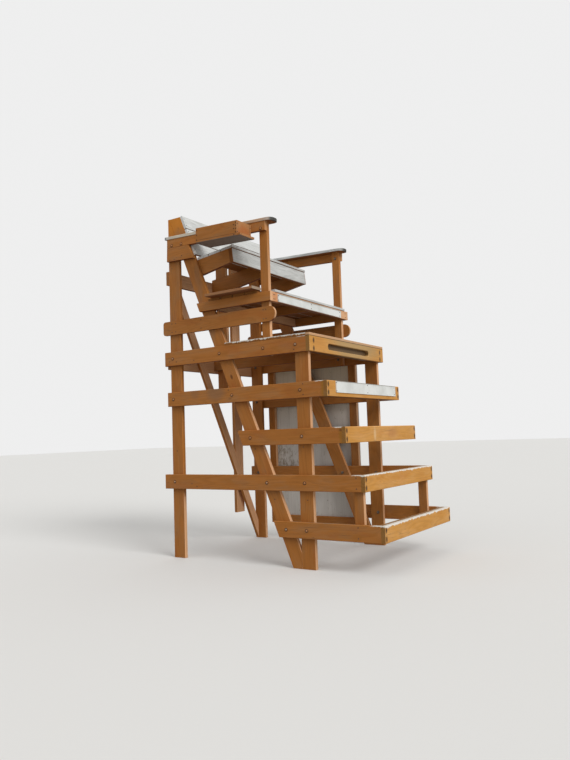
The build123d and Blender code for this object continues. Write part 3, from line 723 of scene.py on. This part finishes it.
# radii, heights and depths in metres
boltLook = {
    "washer": 0.0155, "washerThick": 0.0022, "rim": 0.0012, "rimUp": 0.0004, "slope": 0.005,
    "dish": 0.0006, "head": 0.0092, "brim": 0.0014, "dome": 0.006, "sides": 20,
}
# the dome's rings: their share of its height and how far each draws in
domeRings = ((0.50, 0.86), (0.32, 0.70), (0.18, 0.45))
nailLook = {"head": 0.0052, "proud": 0.0012, "sides": 10, "rim": 0.35, "raised": 0.4}
nutLook = {
    "nut": 0.0125, "depth": 0.0095, "chamfer": 0.0012,
    "end": 0.0055, "endOut": 0.008, "endSunk": 0.001, "endChamfer": 0.001,
}


def flatWasher():
    # dished a little towards its hole by the pull of the bolt
    washer = turnedDisc(boltLook["washer"], boltLook["washerThick"], boltLook["sides"])
    pickFaces(washer, isTop(boltLook["washerThick"]))
    bpy.ops.mesh.inset(thickness=boltLook["rim"])
    bpy.ops.transform.translate(value=(0, 0, boltLook["rimUp"]))
    bpy.ops.mesh.inset(thickness=boltLook["slope"])
    bpy.ops.transform.translate(value=(0, 0, -boltLook["dish"]))
    bpy.ops.object.mode_set(mode="OBJECT")
    return washer


def domedHead():
    # a carriage bolt's head, pulled up to a dome in three rings
    base = boltLook["washerThick"] - boltLook["dish"]
    head = turnedDisc(boltLook["head"], boltLook["brim"], boltLook["sides"], base)
    pickFaces(head, isTop(base + boltLook["brim"]))
    for share, size in domeRings:
        rise = (0, 0, boltLook["dome"] * share)
        bpy.ops.mesh.extrude_region_move(TRANSFORM_OT_translate={"value": rise})
        bpy.ops.transform.resize(value=(size, size, 1.0), center_override=(0, 0, 0))
    bpy.ops.object.mode_set(mode="OBJECT")
    bpy.ops.object.shade_smooth_by_angle(angle=math.radians(40))
    return head


def hexNut():
    # washer, hexagon nut and the bolt's end standing out of it
    washer = flatWasher()
    nut = turnedDisc(nutLook["nut"], nutLook["depth"], 6, boltLook["washerThick"])
    top = boltLook["washerThick"] + nutLook["depth"]
    pickFaces(nut, isTop(top))
    bpy.ops.mesh.bevel(offset=nutLook["chamfer"], segments=2)
    bpy.ops.object.mode_set(mode="OBJECT")
    end = turnedDisc(nutLook["end"], nutLook["endOut"], 12, top - nutLook["endSunk"])
    pickFaces(end, isTop(top - nutLook["endSunk"] + nutLook["endOut"]))
    bpy.ops.mesh.bevel(offset=nutLook["endChamfer"], segments=1)
    bpy.ops.object.mode_set(mode="OBJECT")
    deselectAll()
    for part in (washer, nut, end):
        part.select_set(True)
    bpy.context.view_layer.objects.active = nut
    bpy.ops.object.join()
    return bpy.context.object


def nailHead():
    # a flat nail head with a beaten, slightly raised middle, pointing up
    nail = turnedDisc(nailLook["head"], nailLook["proud"], nailLook["sides"])
    pickFaces(nail, isTop(nailLook["proud"]))
    bpy.ops.mesh.inset(thickness=nailLook["head"] * nailLook["rim"])
    bpy.ops.transform.translate(value=(0, 0, nailLook["proud"] * nailLook["raised"]))
    bpy.ops.object.mode_set(mode="OBJECT")
    return nail


washer, head, nut, nail = flatWasher(), domedHead(), hexNut(), nailHead()
bolts = {
    # bolts through each side board, at x from the rear ends of the boards, in millimetres
    "platform": (102, 698, 1208, 1556), "step_4": (102, 836, 1590), "step_3": (1034, 1590),
    "step_2": (99, 1206, 1604), "step_1": (1395, 1607),
    # those of the arms, and how far they are below the arm's line
    "arm": (120, 248, 1223), "below": 24,
}
for side, outer, out in (("right", nearY, -1), ("left", farY, 1)):
    middles = []
    for level in levelNames:
        low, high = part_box(side + "_side_board_" + level)
        middles += [(spot(station, 0, 0)[0], (low[2] + high[2]) / 2) for station in bolts[level]]
    for station in bolts["arm"]:
        x, _, z = spot(station, 0, armZ - (station - armX) * math.tan(armTilt) - bolts["below"])
        middles.append((x, z))
    backY = outer - out * 2 * plank / 1000
    faces = [((x, outer, z), (0, out, 0)) for x, z in middles]
    backs = [((x, backY, z), (0, -out, 0)) for x, z in middles]
    scatter(washer, side + "SideWashers", faces, washerPaint)
    scatter(head, side + "SideBolts", faces, boltPaint)
    scatter(nut, side + "InnerNuts", backs, zinc)
print("bolts and nuts done")

# the nails of the lowest front board are spots in its material
shelfNails = {"x": 1307, "y": (57, 76, 1433), "z": (2412, 2452)}
frontNails = [(place, alongX) for level in levelNames[:-1] for place in frontNailPlaces(level)]
frontNails += [(spot(shelfNails["x"], y, z), alongX) for y in shelfNails["y"] for z in shelfNails["z"]]
scatter(nail, "frontBoardNails", frontNails, rustyZinc)

sideNailing = {
    # x and z of the nails in millimetres, by how far their face is in from the side boards'
    0: ((62, 1935), (150, 1927), (379, 1922), (1542, 1916), (796, 1604), (320, 726), (383, 700),
        (1621, 1512), (1621, 1605), (2105, 790), (2105, 700), (2105, 384), (2105, 296), (92, 2970),
        (150, 2968), (250, 2990), (92, 2900), (240, 2905)),
    plank: ((1599, 1487), (1581, 1054), (1605, 593), (104, 1042), (1062, 1045), (1261, 594),
            (83, 2888), (110, 1500)),
    13: [(x, z) for x in (90, 140, 470, 1215, 1245) for z in (2232, 2316)],
}
sideNails = []
for inset, places in sideNailing.items():
    for x, z in places:
        sideNails.append((spot(x, inset, z), (0, -1, 0)))
        sideNails.append((spot(x, farSide - inset, z), alongY))
scatter(nail, "sideNails", sideNails, rustyZinc)

deckNailing = {
    # rows over the side frames and the middle in millimetres, and those between the arm posts;
    # shares of a board's pitch
    "rows": (19, 745, 1471), "innerRows": (95, 745, 1395), "shares": (0.22, 0.72),
}
deckNails = []
for name, count in (("platform_deck", 6), ("foot_shelf_deck", 5)):
    low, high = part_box(name)
    pitch = rowOf(name, count)[2]
    for n in range(count):
        # the foot shelf's last board lies between the arm posts
        between = name == "foot_shelf_deck" and n == count - 1
        for y in deckNailing["innerRows" if between else "rows"]:
            for share in deckNailing["shares"]:
                place = (low[0] + (n + share) * pitch, spot(0, y, 0)[1], high[2])
                deckNails.append((place, alongZ))
tiltedNailing = {
    # millimetres along each tilted part, the rows over it, and how far its face is out of its line
    "seat": ((-26, -95, -175, -244, -324, -393), (95, 745, 1395), 25),
    "back": ((-35, -113, -191, -269, -347, -400), (57, 745, 1433), 25),
    "arm": ((60, 330, 620, 930, 1190), (19, 1471), 72.5),
}
for part, (stations, rows, face) in tiltedNailing.items():
    for along in stations:
        for y in rows:
            deckNails.append((tiltedSpot(part, along, face, y), tilts[part][2]))
sideShelfNails = {"x": (680, 850, 1020, 1140), "y": 19, "z": 2529}
for x in sideShelfNails["x"]:
    deckNails.append((spot(x, sideShelfNails["y"], sideShelfNails["z"]), alongZ))
scatter(nail, "deckNails", deckNails, rustyZinc)

backNailing = {"rows": (57, 1433), "rises": (0.034, 0.106)}
backNails = []
for rail in ("upper_back_rail", "lower_back_rail"):
    low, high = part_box(rail)
    for y in backNailing["rows"]:
        for rise in backNailing["rises"]:
            backNails.append(((low[0], spot(0, y, 0)[1], low[2] + rise), (-1, 0, 0)))
scatter(nail, "backRailNails", backNails, rustyZinc)

boxNails = [(boxSpot(gearBox["front"], up, y), onArm) for y, up in gearBox["frontNails"]]
scatter(nail, "gearBoxNails", boxNails, rustyZinc)
print("nails done")

# White enamelled steel sheet, chalky with weather, with rust specks
enamelLook = {"white": "#dcdedb", "chalk": "#c9cbc7", "rust": "#7c5a3c"}


def enamelMaterial():
    material, tree, place = newMaterial("whiteEnamel")
    chalk = addNode(tree, "TexNoise", {"Vector": place, "Scale": 5.0, "Detail": 4.0, "Roughness": 0.6})
    share = addNode(tree, "MapRange", {0: chalk, 1: 0.38, 2: 0.66})
    colour = addNode(tree, "MixRGB", {
        "Fac": share, "Color1": enamelLook["white"], "Color2": enamelLook["chalk"],
    })
    specks = addNode(tree, "TexNoise", {"Vector": place, "Scale": 35.0, "Detail": 5.0, "Roughness": 0.7})
    speck = addNode(tree, "MapRange", {0: specks, 1: 0.67, 2: 0.72, 3: 0.0, 4: 0.7})
    colour = addNode(tree, "MixRGB", {"Fac": speck, "Color1": colour, "Color2": enamelLook["rust"]})
    rough = addNode(tree, "MapRange", {0: chalk, 1: 0.3, 2: 0.7, 3: 0.35, 4: 0.6})
    bump = addNode(tree, "Bump", {"Height": speck, "Strength": 0.3, "Distance": 0.0004})
    shader = addNode(tree, "BsdfPrincipled", {"Base Color": colour, "Roughness": rough, "Normal": bump})
    addNode(tree, "OutputMaterial", {"Surface": shader})
    return material


enamel = enamelMaterial()
plates = {
    # the board each plate is on, and its ends in y and z in millimetres
    "upperStepPlate": ("front_board_step_4", (149, 1389), (1520, 1621)),
    "footShelfPlate": ("foot_shelf_front", (119, 1324), (2395, 2468)),
}
# metres: the sheet, its round corners, its turned edge, and the screws' distance from the edges
plateLook = {"thick": 0.002, "corner": 0.009, "turned": 0.0006, "screws": 0.016}
screws = []


def barePlate(name, node, span, rise):
    # a thin plate with round corners and a turned edge on the front face of a board
    thick = plateLook["thick"]
    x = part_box(node)[1][0] + thick / 2
    (_, y0, z0), (_, y1, z1) = (spot(0, y, z) for y, z in zip(span, rise))
    deselectAll()
    bpy.ops.mesh.primitive_cube_add(size=1, location=(x, (y0 + y1) / 2, (z0 + z1) / 2))
    plate = bpy.context.object
    plate.scale = (thick, y1 - y0, z1 - z0)
    bpy.ops.object.transform_apply(location=True, rotation=True, scale=True)
    for edge in plate.data.edges:
        a, b = (plate.data.vertices[v].co for v in edge.vertices)
        edge.select = abs(a.x - b.x) > thick / 2
    bpy.ops.object.mode_set(mode="EDIT")
    bpy.ops.mesh.select_mode(type="EDGE")
    bpy.ops.mesh.bevel(offset=plateLook["corner"], segments=5)
    pickFaces(plate, lambda face: face.normal.x > 0.9)
    bpy.ops.mesh.bevel(offset=plateLook["turned"], segments=2)
    bpy.ops.object.mode_set(mode="OBJECT")
    inset = plateLook["screws"]
    for y in (y0 + inset, (y0 + y1) / 2, y1 - inset):
        for z in (z0 + inset, z1 - inset):
            screws.append(((x + thick / 2, y, z), alongX))
    settle(plate, name, enamel)


for name, (node, span, rise) in plates.items():
    barePlate(name, node, span, rise)
scatter(nail, "plateScrews", screws, rustyZinc)
for pattern in (washer, head, nut, nail):
    bpy.data.objects.remove(pattern)
print("plates done")

# Stage, light and camera; the floor is a millimetre below the feet
studio = {
    "floorSize": 120, "floorDrop": 0.001, "floorLit": "#b4b1ab", "floorSeen": "#e6e5e2",
    "sky": 0.62, "skySeen": 0.86, "sun": 1.9, "sunSpread": 30, "sunFrom": (0.80, -0.28, 0.55),
}
deselectAll()
bpy.ops.mesh.primitive_plane_add(size=studio["floorSize"], location=(0, 0, -studio["floorDrop"]))
floor = bpy.context.object
floor.name = "floor"
floorPaint, tree = newMaterial("paleFloor")[:2]
path = tree.nodes.new("ShaderNodeLightPath").outputs
paint = addNode(tree, "MixRGB", {
    "Fac": path["Is Camera Ray"], "Color1": studio["floorLit"], "Color2": studio["floorSeen"],
})
shader = addNode(tree, "BsdfPrincipled", {
    "Base Color": paint, "Roughness": 0.9, "Specular IOR Level": 0.1,
})
addNode(tree, "OutputMaterial", {"Surface": shader})
floor.data.materials.append(floorPaint)

world = bpy.data.worlds.new("studio")
bpy.context.scene.world = world
world.use_nodes = True
tree = world.node_tree
tree.nodes.clear()
path = tree.nodes.new("ShaderNodeLightPath").outputs
seen = addNode(tree, "Math", {0: path["Is Camera Ray"], 1: path["Is Glossy Ray"]}, operation="ADD")
seen = addNode(tree, "Math", {0: seen, 1: path["Is Transmission Ray"]}, operation="ADD", use_clamp=True)
strength = addNode(tree, "MapRange", {0: seen, 3: studio["sky"], 4: studio["skySeen"]})
sky = addNode(tree, "Background", {"Color": (1.0, 1.0, 1.0, 1.0), "Strength": strength})
addNode(tree, "OutputWorld", {"Surface": sky})

sun = bpy.data.lights.new("key", "SUN")
sun.energy = studio["sun"]
sun.angle = math.radians(studio["sunSpread"])
key = bpy.data.objects.new("key", sun)
bpy.context.collection.objects.link(key)
key.rotation_euler = Vector(studio["sunFrom"]).to_track_quat("Z", "Y").to_euler()

view = {"place": (3.5731, -5.6838, 1.1664), "yaw": 33.235, "pitch": 4.622, "roll": -1.955, "lens": 32.07}
yaw, pitch, roll = (math.radians(view[turn]) for turn in ("yaw", "pitch", "roll"))
level = Vector((-math.sin(yaw), math.cos(yaw), 0))
right = Vector((math.cos(yaw), math.sin(yaw), 0))
zenith = Vector((0, 0, 1))
ahead = level * math.cos(pitch) + zenith * math.sin(pitch)
upward = zenith * math.cos(pitch) - level * math.sin(pitch)
tiltedRight = right * math.cos(roll) + upward * math.sin(roll)
tiltedUp = upward * math.cos(roll) - right * math.sin(roll)
lens = bpy.data.cameras.new("camera")
lens.lens = view["lens"]
lens.clip_end = 200
camera = bpy.data.objects.new("camera", lens)
bpy.context.collection.objects.link(camera)
camera.matrix_world = Matrix((tiltedRight, tiltedUp, -ahead)).transposed().to_4x4()
camera.location = view["place"]
bpy.context.scene.camera = camera
bpy.context.scene.view_settings.view_transform = "Standard"
print("stage, light and camera done")
